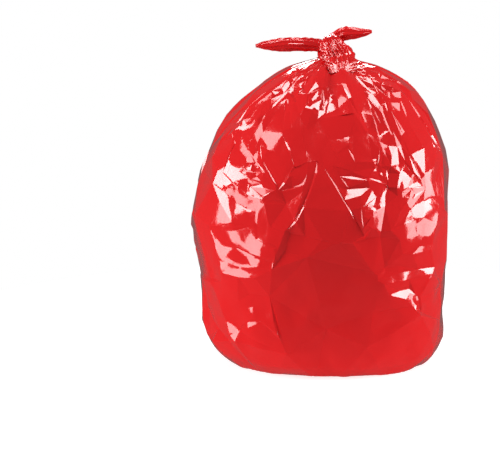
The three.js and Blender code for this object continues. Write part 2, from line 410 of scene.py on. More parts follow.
# Patches of small sharp crinkles: the outline, the gap between corners and their swing in metres.
CRINKLES = {
    "right_star": (
        [(372, 158), (380, 160), (387, 168), (386, 176), (378, 175), (371, 170)],
        0.0045,
        0.0011,
    ),
    "right_band": (
        [(389, 187), (376, 197), (360, 208), (359, 222), (364, 229), (374, 214), (386, 206)],
        0.0065,
        0.0009,
    ),
    "right_head_fine": (
        [(405, 164), (398, 175), (396, 200), (404, 214), (415, 196), (422, 187)],
        0.009,
        0.0009,
    ),
    "right_fringe": ([(406, 299), (411, 291), (421, 297), (421, 318), (412, 308)], 0.0055, 0.0009),
    "arch_fine": ([(306, 107), (309, 94), (323, 88), (339, 97), (338, 109), (324, 113)], 0.0075, 0.0007),
    "shoulder_fine": ([(288, 81), (299, 78), (302, 90), (296, 102), (288, 93)], 0.007, 0.0009),
    "left_node_fine": ([(246, 158), (256, 160), (277, 186), (268, 186), (250, 176)], 0.008, 0.0009),
    "right_neck_fine": (
        [(352, 60), (362, 60), (378, 68), (396, 84), (390, 94), (368, 84), (354, 74)],
        0.007,
        0.0009,
    ),
    "left_neck_fine": ([(306, 66), (316, 62), (318, 72), (300, 84), (290, 82)], 0.007, 0.0008),
}
CRINKLE_TRIES = 1500

# Corners that shape the outline: turn in degrees, height and stand-out in metres.
CORNERS = {
    "left_shoulder": (-84, 0.452, 0.006),
    "left_flank": (-88, 0.335, 0.005),
    "left_hip": (-90, 0.275, 0.002),
    "left_heel": (-92, 0.100, 0.003),
    "right_shoulder": (82, 0.505, 0.007),
    "right_flank": (86, 0.360, 0.004),
    "right_waist": (88, 0.235, -0.003),
    "right_hip": (86, 0.120, 0.004),
}


# The net of creases.


class Net:
    """Corners and creases on the flat film. The heights of the corners are solved for."""

    def __init__(self):
        self.corners = []
        self.creases = []
        self.hints = []  # height and weight of each corner, or None
        self.offsets = []  # what a crinkle's corner stands out further than the facet it is in
        self.patches = []  # outline and tone

    def corner(self, place, height=None, weight=0.0, loose=False):
        self.corners.append(np.asarray(place, dtype=float))
        self.hints.append(None if height is None or loose else (height, weight))
        self.offsets.append(height if loose else 0.0)
        return len(self.corners) - 1

    def line(self, places, height=None, weight=0.0):
        ids = [self.corner(p, height, weight) for p in places]
        self.creases += list(zip(ids[:-1], ids[1:]))
        return ids

    def patch(self, places, tone):
        ids = self.line(places)
        self.creases.append((ids[-1], ids[0]))
        self.patches.append((np.array(places), tone))


def both_sides(middle, half):
    """The outline of a strip round its middle line, pointed at both ends."""
    there = list(middle[1:-1] + half[1:-1])
    back = list(middle[-2:0:-1] - half[-2:0:-1])
    return [middle[0]] + there + [middle[-1]] + back


def add_strip(net, on_film, tone, width, middle):
    """A strip of the photograph on the film."""
    middle = np.array(middle, dtype=float)
    ways = unit(np.gradient(middle, axis=0))
    sides = np.column_stack([-ways[:, 1], ways[:, 0]])
    n = len(middle)
    taper = np.array([0.0 if k in (0, n - 1) else 1.0 for k in range(n)])
    if n == 2:
        middle = np.array([middle[0], middle.mean(axis=0), middle[1]])
        sides = np.repeat(sides[:1], 3, axis=0)
        taper = np.array([0.0, 1.0, 0.0])
    half = width / 2 * taper[:, None] * sides
    net.patch([on_film(*p) for p in both_sides(middle, half)], tone)


def film_up(height):
    """How far up the film a height above the floor is."""
    return float(np.interp(height, sack.table[:, 0], sack.rows))


def film_along(turn):
    return turn / 360 * GIRTH


def add_traced(net, on_film):
    """The folds that the photograph shows."""
    for outline in DARK_FACETS.values():
        net.patch([on_film(*p) for p in outline], "dark")
    for tone, width, middle in STRIPS.values():
        add_strip(net, on_film, tone, width, middle)
    for tone, outline in FACETS.values():
        net.patch([on_film(*p) for p in outline], tone)
    for outline, gap, swing in CRINKLES.values():
        add_crinkles(net, np.array([on_film(*p) for p in outline]), gap, swing)
    for turn, height, reach in CORNERS.values():
        net.corner((film_along(turn), film_up(height)), reach, 1.0)


def add_crinkles(net, outline, gap, swing):
    """Many small sharp facets inside an outline."""
    low, high = outline.min(axis=0), outline.max(axis=0)
    placed = []
    for _ in range(CRINKLE_TRIES):
        p = low + RANDOM.random(2) * (high - low)
        if not inside(outline, p[None])[0]:
            continue
        if placed and np.min(np.linalg.norm(np.array(placed) - p, axis=1)) < gap:
            continue
        placed.append(p)
        net.corner(p, RANDOM.uniform(-swing, swing), loose=True)


# Folds that the photograph doesn't show.

HALF_GIRTH = GIRTH / 2
SEAM_STEP = 0.055
FRONT_TURN = 72.0  # degrees to each side that the traced folds cover
SEAM_TURN = 176.0  # degrees to each side that a pleat keeps within
SEAM_CLEAR = 0.012  # what a strip keeps from the cut at the back
NECK_PLEATS = 30
NECK_PLEAT_FOOT = 0.034  # how far below the film's top a neck pleat starts
NECK_PLEAT_LENGTHS = (0.07, 0.26)
FRONT_PLEAT_LENGTHS = (0.02, 0.04)
NECK_PLEAT_WIDTHS = (0.005, 0.008)
SIDE_STRIPS = 90
SIDE_STRIP_LENGTHS = (0.05, 0.16)
SIDE_STRIP_WIDTHS = (0.005, 0.010)
FINE_CREASES = 30
FINE_CREASE_TURN = 30.0  # degrees to each side of the front that they leave free
FINE_CREASE_LENGTHS = (0.025, 0.085)
FINE_CREASE_WIDTHS = (0.0022, 0.0038)
SCATTER_TRIES = 1500
PLAIN_TURN = 55.0  # degrees to each side of the front's low part, which has few folds
PLAIN_HEIGHT = 0.23  # how far up the film that part reaches
PLAIN_GAP = 0.075
PLAIN_SWING = 0.001
FOLDED_GAP = 0.048
FOLDED_SWING = 0.0045


def film_strip(net, start, end, width, tone, bend=0.0):
    """A strip between two places on the film, its width in metres as it really is on the sack."""
    start = np.array(start, dtype=float)
    end = np.array(end, dtype=float)
    shares = np.linspace(0.0, 1.0, 5)[:, None]
    middle = start + shares * (end - start)
    side = np.array([-(end - start)[1], (end - start)[0]])
    middle = middle + bend * np.sin(math.pi * shares) * side
    narrowed = np.array([max(sack.share(p[1]), 0.08) for p in middle])
    real = middle * np.column_stack([narrowed, np.ones(5)])
    ways = unit(np.gradient(real, axis=0))
    sides = np.column_stack([-ways[:, 1] / narrowed, ways[:, 0]])
    half = width / 2 * np.array([0.0, 0.8, 1.0, 0.8, 0.0])[:, None] * sides
    net.patch(both_sides(middle, half), tone)


def add_neck_pleats(net):
    top = sack.length - NECK_PLEAT_FOOT
    for k in range(NECK_PLEATS):
        turn = (k + 0.5 + RANDOM.uniform(-0.3, 0.3)) * 360 / NECK_PLEATS - 180
        long = RANDOM.uniform(*NECK_PLEAT_LENGTHS)
        if abs(turn) < FRONT_TURN:
            long = RANDOM.uniform(*FRONT_PLEAT_LENGTHS)
        drift = RANDOM.uniform(-0.02, 0.02)
        foot = film_along(np.clip(turn + drift * 180, -SEAM_TURN, SEAM_TURN))
        start = (film_along(np.clip(turn, -SEAM_TURN, SEAM_TURN)), top - RANDOM.uniform(0.0, 0.006))
        tone = "lean_left" if k % 2 else "lean_right"
        width = RANDOM.uniform(*NECK_PLEAT_WIDTHS)
        film_strip(net, start, (foot, top - long), width, tone, RANDOM.uniform(-0.05, 0.05))


def add_side_strips(net):
    for _ in range(SIDE_STRIPS):
        turn = RANDOM.uniform(FRONT_TURN + 8, 358 - FRONT_TURN)
        turn = turn - 360 if turn > 180 else turn
        up = RANDOM.uniform(0.06, 0.56)
        steep = smooth_step(up, 0.25, 0.5)
        upright = RANDOM.random() < 0.3 + 0.7 * steep
        slant = math.radians(RANDOM.uniform(55, 125) if upright else RANDOM.uniform(-50, 50))
        long = RANDOM.uniform(*SIDE_STRIP_LENGTHS)
        start = np.array([film_along(turn), up])
        end = start + long * np.array([math.cos(slant), math.sin(slant)])
        at_seam = max(abs(start[0]), abs(end[0])) > HALF_GIRTH - SEAM_CLEAR
        if at_seam or not 0.03 < end[1] < sack.length - 0.05:
            continue
        tones = ("lean_left", "lean_right") if abs(math.sin(slant)) > 0.7 else ("lean_up", "lean_down")
        width = RANDOM.uniform(*SIDE_STRIP_WIDTHS)
        tone = tones[int(RANDOM.integers(2))]
        film_strip(net, start, end, width, tone, RANDOM.uniform(-0.1, 0.1))


def add_fine_creases(net):
    """Narrow sharp creases in front, which run down from the neck above the belly."""
    made = 0
    while made < FINE_CREASES:
        turn = RANDOM.uniform(-FRONT_TURN, FRONT_TURN)
        up = RANDOM.uniform(0.34, sack.length - 0.07)
        if abs(turn) < FINE_CREASE_TURN:
            continue
        steep = smooth_step(up, 0.30, 0.42)
        if RANDOM.random() < 0.25 + 0.75 * steep:
            slant = math.radians(-90 + RANDOM.uniform(-14, 14) * (2.0 - steep))
        else:
            slant = math.radians(RANDOM.uniform(-35, 35))
        long = RANDOM.uniform(*FINE_CREASE_LENGTHS)
        start = np.array([film_along(turn), up])
        end = start + long * np.array([math.cos(slant) * math.copysign(1, turn), math.sin(slant)])
        if not 0.05 < end[1] < sack.length - 0.05:
            continue
        middle = 0.5 * (start + end)
        darks = [np.array(outline) for outline, tone in net.patches if tone == "dark"]
        if any(inside(outline, middle[None])[0] for outline in darks):
            continue
        tone = ("pink", "pink", "white")[int(RANDOM.integers(3))]
        width = RANDOM.uniform(*FINE_CREASE_WIDTHS)
        film_strip(net, start, end, width, tone, RANDOM.uniform(-0.06, 0.06))
        made += 1


def add_scattered_corners(net):
    """Corners of low facets where nothing else is, spaced like the folds of a stuffed sack."""
    taken = [sack.place(*p) for p in net.corners]
    for _ in range(SCATTER_TRIES):
        turn = RANDOM.uniform(-177, 177)
        up = RANDOM.uniform(0.035, sack.length - 0.045)
        p = np.array([film_along(turn), up])
        at = sack.place(p[0], p[1])
        plain = abs(turn) < PLAIN_TURN and up < PLAIN_HEIGHT
        gap = PLAIN_GAP if plain else FOLDED_GAP * (0.6 + 0.4 * sack.share(up))
        if np.min(np.linalg.norm(np.array(taken) - at, axis=1)) < gap:
            continue
        swing = PLAIN_SWING if plain else FOLDED_SWING * sack.share(up)
        net.corner(p, RANDOM.uniform(-swing, swing), 0.5)
        taken.append(at)


def add_edges(net):
    """The foot, the neck, and both sides of the cut at the back where the flat film closes."""
    ups = np.linspace(0.0, sack.length, int(sack.length / SEAM_STEP) + 1)
    for side in (-1, 1):
        net.line([(side * HALF_GIRTH, up) for up in ups])
    across = np.linspace(-HALF_GIRTH, HALF_GIRTH, 33)
    for up in (0.0, sack.length):
        net.line([(along, up) for along in across], 0.0, 20.0)


def whole_net(on_film):
    net = Net()
    add_traced(net, on_film)
    add_neck_pleats(net)
    add_fine_creases(net)
    add_side_strips(net)
    add_edges(net)
    add_scattered_corners(net)
    return net


# The heights of the corners.

CLOSEST = 2e-4  # corners nearer than this become one
PINK_MISS = math.radians(3.0)  # how far a pink facet that takes a bright softbox misses it
DARK_CLEAR = math.radians(9.0)  # how far the other facets keep clear of every softbox
LEAN = 0.55  # slope of the untraced strips
MOST_TILT = math.radians(42.0)  # from the unfolded film
OVERSHOOT = 1.12  # for what the pull back takes off a slope
LEANS = {"lean_left": (1, 0), "lean_right": (-1, 0), "lean_up": (0, -1), "lean_down": (0, 1)}
STAND_MOST = 0.009  # how far a corner stands out or in at most
PULL_BACK = 200.0  # how strongly the film is held to the sack under it
HINT_PULL = 2.0e3  # how strongly a corner with a given height is held to it
TRACED_AREA = 8e-5  # what a traced facet's area counts as more, so that narrow strips matter
AREA_SCALE = 1e4
DARK_MATTERS = 0.6
UNTRACED_MATTERS = 0.3
FREE_MATTERS = 0.05  # for a facet that reflects no softbox as it is
PASSES = 2
FLATNESS = 0.85  # 0 is a facet bent over the sack's roundness, 1 is a flat one
LOW_FLATNESS = 0.45  # near the floor, where the load rounds the film
LOW_RISE = (0.1, 0.3)  # where up the film the low flatness gives way
FOOT_RISE = 0.03  # below this the facets bend to the flat foot
NECK_FADE = (0.13, 0.06)  # how far below the film's top its facets begin and end bending
LIFT = 0.6  # how much of a flat facet's sag the corners make up for


def box_points(boxes):
    """Points over each softbox, in from its rim."""
    points = []
    for box in boxes.values():
        side = unit(np.cross(box.way, [0.0, 0.0, 1.0]))
        top = np.cross(side, box.way)
        for u in (-0.25, 0.0, 0.25):
            for v in (-0.25, 0.0, 0.25):
                points.append(box.at + u * box.width * side + v * box.height * top)
    return np.array(points)


BRIGHT_POINTS = box_points(LIGHTS)
DIM_POINTS = box_points(DIM_LIGHTS)
ALL_POINTS = np.vstack([BRIGHT_POINTS, DIM_POINTS])
DIM_REACH = math.radians(24.0)  # a pink facet that would tilt further for a dim box takes a bright one

# Slopes from none upwards, each in sixteen directions.
TRIED_SLOPES = np.array(
    [(0.0, 0.0)]
    + [
        (slope * math.cos(way), slope * math.sin(way))
        for slope in np.arange(0.04, 0.7, 0.04)
        for way in np.arange(16) * math.pi / 8
    ]
)


def wanted_slope(tone, along, up):
    """The slope round and up the film that gives a facet its tone, and how much it matters."""
    go_round, go_up, out, _ = sack.axes(along, up)
    if tone in LEANS:
        return np.array(LEANS[tone]) * LEAN, 1.0
    at = sack.place(along, up)
    if tone not in ("white", "pink"):
        return clear_slope(at, go_round, go_up, out, DARK_MATTERS if tone == "dark" else UNTRACED_MATTERS)
    for points in ([BRIGHT_POINTS] if tone == "white" else [DIM_POINTS, BRIGHT_POINTS]):
        halfway = unit(unit(CAMERA_AT - at) + unit(points - at))
        tilts = np.arccos(np.clip(halfway @ out, -1, 1))
        best = int(np.argmin(tilts))
        tilt = tilts[best]
        if tilt < DIM_REACH:
            break
    away = unit(halfway[best] - np.dot(halfway[best], out) * out)
    angle = tilt - PINK_MISS if tone == "pink" and points is BRIGHT_POINTS else tilt
    steepness = OVERSHOOT * math.tan(min(angle, MOST_TILT))
    return -steepness * np.array([np.dot(away, go_round), np.dot(away, go_up)]), 1.0


def clear_slope(at, go_round, go_up, out, matters):
    """The least slope with which a facet reflects no softbox, and how much it matters."""
    halfway = unit(unit(CAMERA_AT - at) + unit(ALL_POINTS - at))
    normals = unit(out - TRIED_SLOPES[:, :1] * go_round - TRIED_SLOPES[:, 1:] * go_up)
    nearest = np.max(normals @ halfway.T, axis=1)
    clear = np.nonzero(nearest < math.cos(DARK_CLEAR))[0]
    if not len(clear):
        return np.zeros(2), FREE_MATTERS
    return TRIED_SLOPES[clear[0]], matters if clear[0] else FREE_MATTERS


def inside(outline, points):
    """Which of the points are inside a closed outline."""
    x, y = points[:, 0], points[:, 1]
    result = np.zeros(len(points), dtype=bool)
    for (x0, y0), (x1, y1) in zip(outline, np.roll(outline, -1, axis=0)):
        crosses = (y0 > y) != (y1 > y)
        where = x0 + (y - y0) / (y1 - y0 if y1 != y0 else 1e-12) * (x1 - x0)
        result ^= crosses & (x < where)
    return result


def triangulate(corners, creases):
    """The net's corners, its edges and its triangles, with crossing creases cut at their crossings."""
    made = delaunay_2d_cdt([Vector(p) for p in corners], creases, [], 0, CLOSEST, True)
    return np.array([tuple(v) for v in made[0]]), made[1], np.array(made[2]), made[3]


def corner_slopes(places, faces):
    """For each triangle: the slope that each corner's height gives it, its area, and its middle."""
    middle = places[faces].mean(axis=1)
    _, go_up, _, stretch = sack.axes(middle[:, 0], middle[:, 1])
    a, b, c = (places[faces[:, k]] for k in range(3))
    u = (b - a) * np.column_stack([stretch, np.ones(len(faces))])
    v = (c - a) * np.column_stack([stretch, np.ones(len(faces))])
    double = u[:, 0] * v[:, 1] - u[:, 1] * v[:, 0]
    double = np.where(np.abs(double) < 1e-12, 1e-12, double)
    toward_b = np.column_stack([v[:, 1], -v[:, 0]]) / double[:, None]
    toward_c = np.column_stack([-u[:, 1], u[:, 0]]) / double[:, None]
    return np.stack([-toward_b - toward_c, toward_b, toward_c], axis=1), np.abs(double) / 2, middle


def solve_heights(places, faces, origins, net):
    slopes, areas, middles = corner_slopes(places, faces)
    tones = np.full(len(faces), "", dtype=object)
    narrow = np.zeros(len(faces), dtype=bool)
    for outline, tone in net.patches:
        within = inside(outline, middles)
        tones[within] = tone
        narrow |= within
    # The two sides of the cut at the back share their heights.
    same = np.arange(len(places))
    at_left = {round(p[1], 5): k for k, p in enumerate(places) if p[0] < -HALF_GIRTH + CLOSEST}
    for k, p in enumerate(places):
        if p[0] > HALF_GIRTH - CLOSEST:
            same[k] = at_left[round(p[1], 5)]
    n = len(places)
    matrix = np.zeros((n, n))
    vector = np.zeros(n)
    for f, face in enumerate(faces):
        ids = same[face]
        slope, matters = wanted_slope(tones[f], *middles[f])
        weight = matters * (areas[f] + (TRACED_AREA if narrow[f] else 0.0)) * AREA_SCALE
        g = slopes[f]  # corner by axis
        matrix[np.ix_(ids, ids)] += weight * (g @ g.T)
        vector[ids] += weight * (g @ slope)
    lumped = np.zeros(n)
    np.add.at(lumped, same[faces].ravel(), np.repeat(areas / 3, 3) * AREA_SCALE)
    matrix[np.arange(n), np.arange(n)] += lumped * PULL_BACK
    for k, origin in enumerate(origins):
        hints = [net.hints[i] for i in origin if i < len(net.hints) and net.hints[i] is not None]
        if hints:
            height, strength = hints[0]
            matrix[same[k], same[k]] += strength * HINT_PULL
            vector[same[k]] += strength * HINT_PULL * height
    loose = np.where(np.diag(matrix) == 0)[0]
    matrix[loose, loose] = 1.0
    heights = STAND_MOST * np.tanh(np.linalg.solve(matrix, vector)[same] / STAND_MOST)
    for k, origin in enumerate(origins):
        heights[k] += sum(net.offsets[i] for i in origin if i < len(net.offsets))
    return heights


def on_net(points, places, faces, heights):
    """At any points of the flat film: the net's height, and the place on its flat facet."""
    _, _, out, _ = sack.axes(places[:, 0], places[:, 1])
    corners = sack.place(places[:, 0], places[:, 1]) + heights[:, None] * out
    order = np.argsort(points[:, 0])
    sorted_along = points[order, 0]
    stand = np.zeros(len(points))
    flat_place = sack.place(points[:, 0], points[:, 1])
    for face in faces:
        a, b, c = places[face]
        low, high = min(a[0], b[0], c[0]), max(a[0], b[0], c[0])
        first, last = np.searchsorted(sorted_along, [low - 1e-7, high + 1e-7])
        ids = order[first:last]
        if not len(ids):
            continue
        p = points[ids] - a
        u, v = b - a, c - a
        det = u[0] * v[1] - u[1] * v[0]
        if abs(det) < 1e-14:
            continue
        s = (p[:, 0] * v[1] - p[:, 1] * v[0]) / det
        t = (u[0] * p[:, 1] - u[1] * p[:, 0]) / det
        ok = (s > -1e-6) & (t > -1e-6) & (s + t < 1 + 1e-6)
        s, t, ids = s[ok], t[ok], ids[ok]
        h = heights[face]
        stand[ids] = h[0] + s * (h[1] - h[0]) + t * (h[2] - h[0])
        p = corners[face]
        flat_place[ids] = p[0] + s[:, None] * (p[1] - p[0]) + t[:, None] * (p[2] - p[0])
    return stand, flat_place


def below_neck(up):
    """1 on the body of the sack, fading to 0 where the film is drawn into the neck."""
    return 1.0 - smooth_step(up, sack.length - NECK_FADE[0], sack.length - NECK_FADE[1])


def lifted(places, faces, heights):
    """Corners moved out, so that the flat facets between them lie on the sack's surface on average."""
    _, _, out, _ = sack.axes(places[:, 0], places[:, 1])
    corners = sack.place(places[:, 0], places[:, 1]) + heights[:, None] * out
    middle = places[faces].mean(axis=1)
    _, _, face_out, _ = sack.axes(middle[:, 0], middle[:, 1])
    bent = sack.place(middle[:, 0], middle[:, 1]) + heights[faces].mean(axis=1)[:, None] * face_out
    sag = np.einsum("fc,fc->f", bent - corners[faces].mean(axis=1), face_out)
    size = corner_slopes(places, faces)[1]
    total = np.zeros(len(places))
    around = np.zeros(len(places))
    np.add.at(total, faces.ravel(), np.repeat(sag * size, 3))
    np.add.at(around, faces.ravel(), np.repeat(size, 3))
    return heights + LIFT * FLATNESS * below_neck(places[:, 1]) * total / around


def folded():
    """The net with its heights. The second pass traces the folds on the first pass's film."""
    global RANDOM
    stand = None
    for _ in range(PASSES):
        RANDOM = np.random.default_rng(SEED)
        net = whole_net(sight_finder(stand))
        places, edges, faces, origins = triangulate(net.corners, net.creases)
        heights = solve_heights(places, faces, origins, net)

        def stand(points, at=(places, faces, heights)):
            return on_net(points, *at)[0]

    return places, edges, faces, heights


places, net_edges, net_faces, heights = folded()
heights = lifted(places, net_faces, heights)


# The fine film over the net.

FRONT_GRAIN = 0.0046  # gap between the film's points in front
BACK_GRAIN = 0.0066
GRAIN_TURN = 100.0  # degrees from the front where the one gives way to the other
CREASE_GRAIN = 0.0045
CLEAR_OF_CREASE = 0.5  # share of the grain that loose points keep from a crease
JITTER = 0.0004
FLOOR_GAP = 0.0004
WAVES = 26
WAVE_LENGTHS = (0.028, 0.09)
WAVE_HEIGHT = 0.00009
LOW_WAVES = 2.5  # how much higher still the waves are low down
LOW_WAVES_FADE = (0.14, 0.32)  # where up the film that ends
FOOT_RINGS = (0.86, 0.6, 0.3)  # the rings of the flat bottom, as shares of its rim
SEAM_FADE = 0.04  # the waves fade out this near the cut at the back
SHARP_FROM = math.radians(8.0)  # the film's folds are sharper than a pixel, so they are sharp edges


def grain_at(along):
    turn = np.abs(np.asarray(along)) / GIRTH * 360
    return FRONT_GRAIN + (BACK_GRAIN - FRONT_GRAIN) * smooth_step(turn, GRAIN_TURN - 10, GRAIN_TURN + 10)


def fine_points():
    """All the film's points, flat, and the creases between them."""
    points = [tuple(p) for p in places]
    creases = []
    _, _, _, stretch = sack.axes(places[:, 0], places[:, 1])
    for i, j in net_edges:
        a, b = places[i], places[j]
        real = (b - a) * np.array([0.5 * (stretch[i] + stretch[j]), 1.0])
        pieces = max(1, int(math.ceil(np.hypot(*real) / CREASE_GRAIN)))
        last = i
        for k in range(1, pieces):
            points.append(tuple(a + (b - a) * k / pieces))
            creases.append((last, len(points) - 1))
            last = len(points) - 1
        creases.append((last, j))
    on_crease = np.array(points)
    tree = KDTree(len(on_crease))
    for k, at in enumerate(sack.place(on_crease[:, 0], on_crease[:, 1])):
        tree.insert(at, k)
    tree.balance()
    up = BACK_GRAIN / 2
    row = 0
    loose = []
    while up < sack.length - 0.004:
        fine = np.linspace(-HALF_GIRTH, HALF_GIRTH, 2000)
        step = grain_at(fine) / max(float(sack.share(up)), 0.05) ** 0.75
        count = np.concatenate([[0.0], np.cumsum((fine[1] - fine[0]) / step[:-1])])
        wanted = np.arange(0.5 + 0.5 * (row % 2), count[-1] - 0.4)
        along = np.interp(wanted, count, fine)
        loose += [(x + RANDOM.uniform(-1, 1) * JITTER, up + RANDOM.uniform(-1, 1) * JITTER) for x in along]
        up += 0.87 * FRONT_GRAIN
        row += 1
    loose = np.array(loose)
    kept = []
    for p, at in zip(loose, sack.place(loose[:, 0], loose[:, 1])):
        if tree.find(at)[2] > CLEAR_OF_CREASE * grain_at(p[0]):
            kept.append(tuple(p))
    return points + kept, creases


def make_film():
    points, creases = fine_points()
    flat, _, faces, _ = triangulate(points, creases)
    stand, flat_place = on_net(flat, places, net_faces, heights)
    # Close the cut at the back.
    same = np.arange(len(flat))
    at_left = {round(p[1], 5): k for k, p in enumerate(flat) if p[0] < -HALF_GIRTH + 1e-6}
    for k, p in enumerate(flat):
        if p[0] > HALF_GIRTH - 1e-6:
            same[k] = at_left.get(round(p[1], 5), k)
    faces = same[faces]
    _, _, out, _ = sack.axes(flat[:, 0], flat[:, 1])
    round_place = sack.place(flat[:, 0], flat[:, 1]) + stand[:, None] * out
    flatness = LOW_FLATNESS + (FLATNESS - LOW_FLATNESS) * smooth_step(flat[:, 1], *LOW_RISE)
    flatness = flatness * smooth_step(flat[:, 1], 0.0, FOOT_RISE)
    flatness = flatness * below_neck(flat[:, 1])
    solid = round_place + flatness[:, None] * (flat_place - round_place) + ruffle(flat)[:, None] * out
    solid[:, 2] = np.maximum(solid[:, 2], FLOOR_GAP)
    return flat, solid, faces


def ruffle(flat):
    """Soft waves all over the film, less where the neck draws it tight."""
    total = np.zeros(len(flat))
    for _ in range(WAVES):
        length = RANDOM.uniform(*WAVE_LENGTHS)
        way = RANDOM.uniform(0, math.pi)
        phase = RANDOM.uniform(0, 2 * math.pi)
        across = flat @ np.array([math.cos(way), math.sin(way)])
        total += length / WAVE_LENGTHS[1] * np.sin(across * 2 * math.pi / length + phase)
    edge = smooth_step(HALF_GIRTH - np.abs(flat[:, 0]), 0.0, SEAM_FADE)
    low = 1.0 - smooth_step(flat[:, 1], *LOW_WAVES_FADE)
    return WAVE_HEIGHT * (1.0 + LOW_WAVES * low) * total * sack.share(flat[:, 1]) * edge


def mesh_object(name, points, faces):
    mesh = bpy.data.meshes.new(name)
    mesh.from_pydata([tuple(map(float, p)) for p in points], [], [tuple(map(int, f)) for f in faces])
    mesh.validate()
    mesh.polygons.foreach_set("use_smooth", [True] * len(mesh.polygons))
    mesh.update()
    piece = bpy.data.objects.new(name, mesh)
    bpy.context.collection.objects.link(piece)
    return piece


def closed_film():
    """The film with its flat bottom and the top that the knot hides."""
    flat, solid, faces = make_film()
    points = list(solid)
    faces = [tuple(f) for f in faces if len(set(f)) == 3]
    used = set(i for f in faces for i in f)
    for up, rings in ((0.0, FOOT_RINGS), (sack.length, ())):
        rim = [k for k in used if abs(flat[k][1] - up) < 1e-6]
        rim.sort(key=lambda k: flat[k][0])
        middle = np.mean([points[k] for k in rim], axis=0)
        ring = rim
        for share in rings:
            fresh = []
            for k in rim:
                p = middle + share * (np.array(points[k]) - middle)
                p[2] = FLOOR_GAP
                points.append(p)
                fresh.append(len(points) - 1)
            for a in range(len(ring)):
                b = (a + 1) % len(ring)
                faces.append((ring[b], ring[a], fresh[a]))
                faces.append((ring[b], fresh[a], fresh[b]))
            ring = fresh
        middle[2] = FLOOR_GAP if up == 0.0 else middle[2]
        points.append(middle)
        for a in range(len(ring)):
            b = (a + 1) % len(ring)
            start, end = (ring[b], ring[a]) if up == 0.0 else (ring[a], ring[b])
            faces.append((start, end, len(points) - 1))
    keep = sorted(set(i for f in faces for i in f))
    renamed = {k: i for i, k in enumerate(keep)}
    faces = [tuple(renamed[i] for i in f) for f in faces]
    piece = mesh_object("sack_film", [points[k] for k in keep], faces)
    piece.data.set_sharp_from_angle(angle=SHARP_FROM)
    return piece


film = closed_film()


# The knot and the tails.


def smooth_path(points, steps):
    """A smooth curve through the points, and how far along it each step is, from 0 to 1."""
    points = np.array(points, dtype=float)
    ends = np.vstack([2 * points[0] - points[1], points, 2 * points[-1] - points[-2]])
    spans = len(points) - 1
    share = np.linspace(0, spans - 1e-9, steps)
    k = share.astype(int)
    t = (share - k)[:, None]
    p0, p1, p2, p3 = ends[k], ends[k + 1], ends[k + 2], ends[k + 3]
    square = 2 * p0 - 5 * p1 + 4 * p2 - p3
    cube = 3 * p1 - p0 - 3 * p2 + p3
    curve = 0.5 * (2 * p1 + (p2 - p0) * t + square * t**2 + cube * t**3)
    return curve, share / spans


def crumpled(draws, steps, around, gap):
    """A net of flat facets between corners that stand out by -1 to 1, round and along a strand."""
    rows = steps // gap + 2
    columns = around // gap
    corners = draws.uniform(-1, 1, (rows, columns))
    row = np.arange(steps) / gap
    column = np.arange(around) / gap
    j = row.astype(int)[:, None]
    i = column.astype(int)[None, :]
    v = row[:, None] - j
    u = column[None, :] - i
    a, b = corners[j, i % columns], corners[j, (i + 1) % columns]
    c, d = corners[j + 1, i % columns], corners[j + 1, (i + 1) % columns]
    lower = a + u * (b - a) + v * (c - a)
    upper = d + (1 - u) * (c - d) + (1 - v) * (b - d)
    return np.where(u + v < 1, lower, upper)


STRAND_STEPS = 150
STRAND_BLUR = 3  # in steps
CRUMPLE_GAPS = (8, 12)  # steps between the corners of a strand's small facets


def strand(name, points, widths, depths, pleats, seed, around=72, pleat=0.12, crumple=0.06):
    """Gathered film along a path. The widths and depths are given at the path's points."""
    steps = STRAND_STEPS
    draws = np.random.default_rng(seed)
    path, share = smooth_path(points, steps)
    at_points = np.linspace(0, 1, len(points))
    width = np.interp(share, at_points, widths)
    depth = np.interp(share, at_points, depths)
    width = blurred(width[:, None], STRAND_BLUR)[:, 0]
    depth = blurred(depth[:, None], STRAND_BLUR)[:, 0]
    forward = unit(np.gradient(path, axis=0))
    flat = np.array([0.0, -1.0, 0.0])
    # The flat side turns as little as it can along the path.
    normals = []
    normal = unit(flat - np.dot(flat, forward[-1]) * forward[-1])
    for f in forward[::-1]:
        normal = unit(normal - np.dot(normal, f) * f)
        normals.append(normal)
    normals = np.array(normals[::-1])
    sides = np.cross(forward, normals)
    angle = np.arange(around) * 2 * math.pi / around
    ring = np.ones((steps, around))
    run = np.cumsum(np.linalg.norm(np.gradient(path, axis=0), axis=1))
    for count, height in ((pleats, pleat), (pleats * 2 + 1, 0.05), (3, 0.06)):
        phase = draws.uniform(0, 2 * math.pi)
        wander = sum(
            draws.uniform(0.3, 0.9) * np.sin(run / draws.uniform(0.012, 0.03) + draws.uniform(0, 6.3))
            for _ in range(3)
        )
        wave = np.sin(count * angle[None, :] + phase + wander[:, None])
        ring += height * (1.0 - np.abs(wave) ** 0.7 * 2.0)
    for gap in CRUMPLE_GAPS:
        ring += crumple * crumpled(draws, steps, around, gap)
    to_side = np.cos(angle)[None, :, None] * (width / 2)[:, None, None] * ring[..., None]
    to_front = np.sin(angle)[None, :, None] * (depth / 2)[:, None, None] * ring[..., None]
    rings = path[:, None, :] + to_side * sides[:, None, :] + to_front * normals[:, None, :]
    vertices = rings.reshape(-1, 3)
    faces = []
    for j in range(steps - 1):
        for i in range(around):
            k = (i + 1) % around
            faces.append((j * around + i, j * around + k, (j + 1) * around + k, (j + 1) * around + i))
    first = len(vertices)
    vertices = np.vstack([vertices, path[0], path[-1]])
    for i in range(around):
        k = (i + 1) % around
        faces.append((k, i, first))
        faces.append(((steps - 1) * around + i, (steps - 1) * around + k, first + 1))
    return mesh_object(name, vertices, faces)


MM = 0.001


def from_knot(*offsets):
    return [KNOT_AT + np.array(o) * MM for o in offsets]


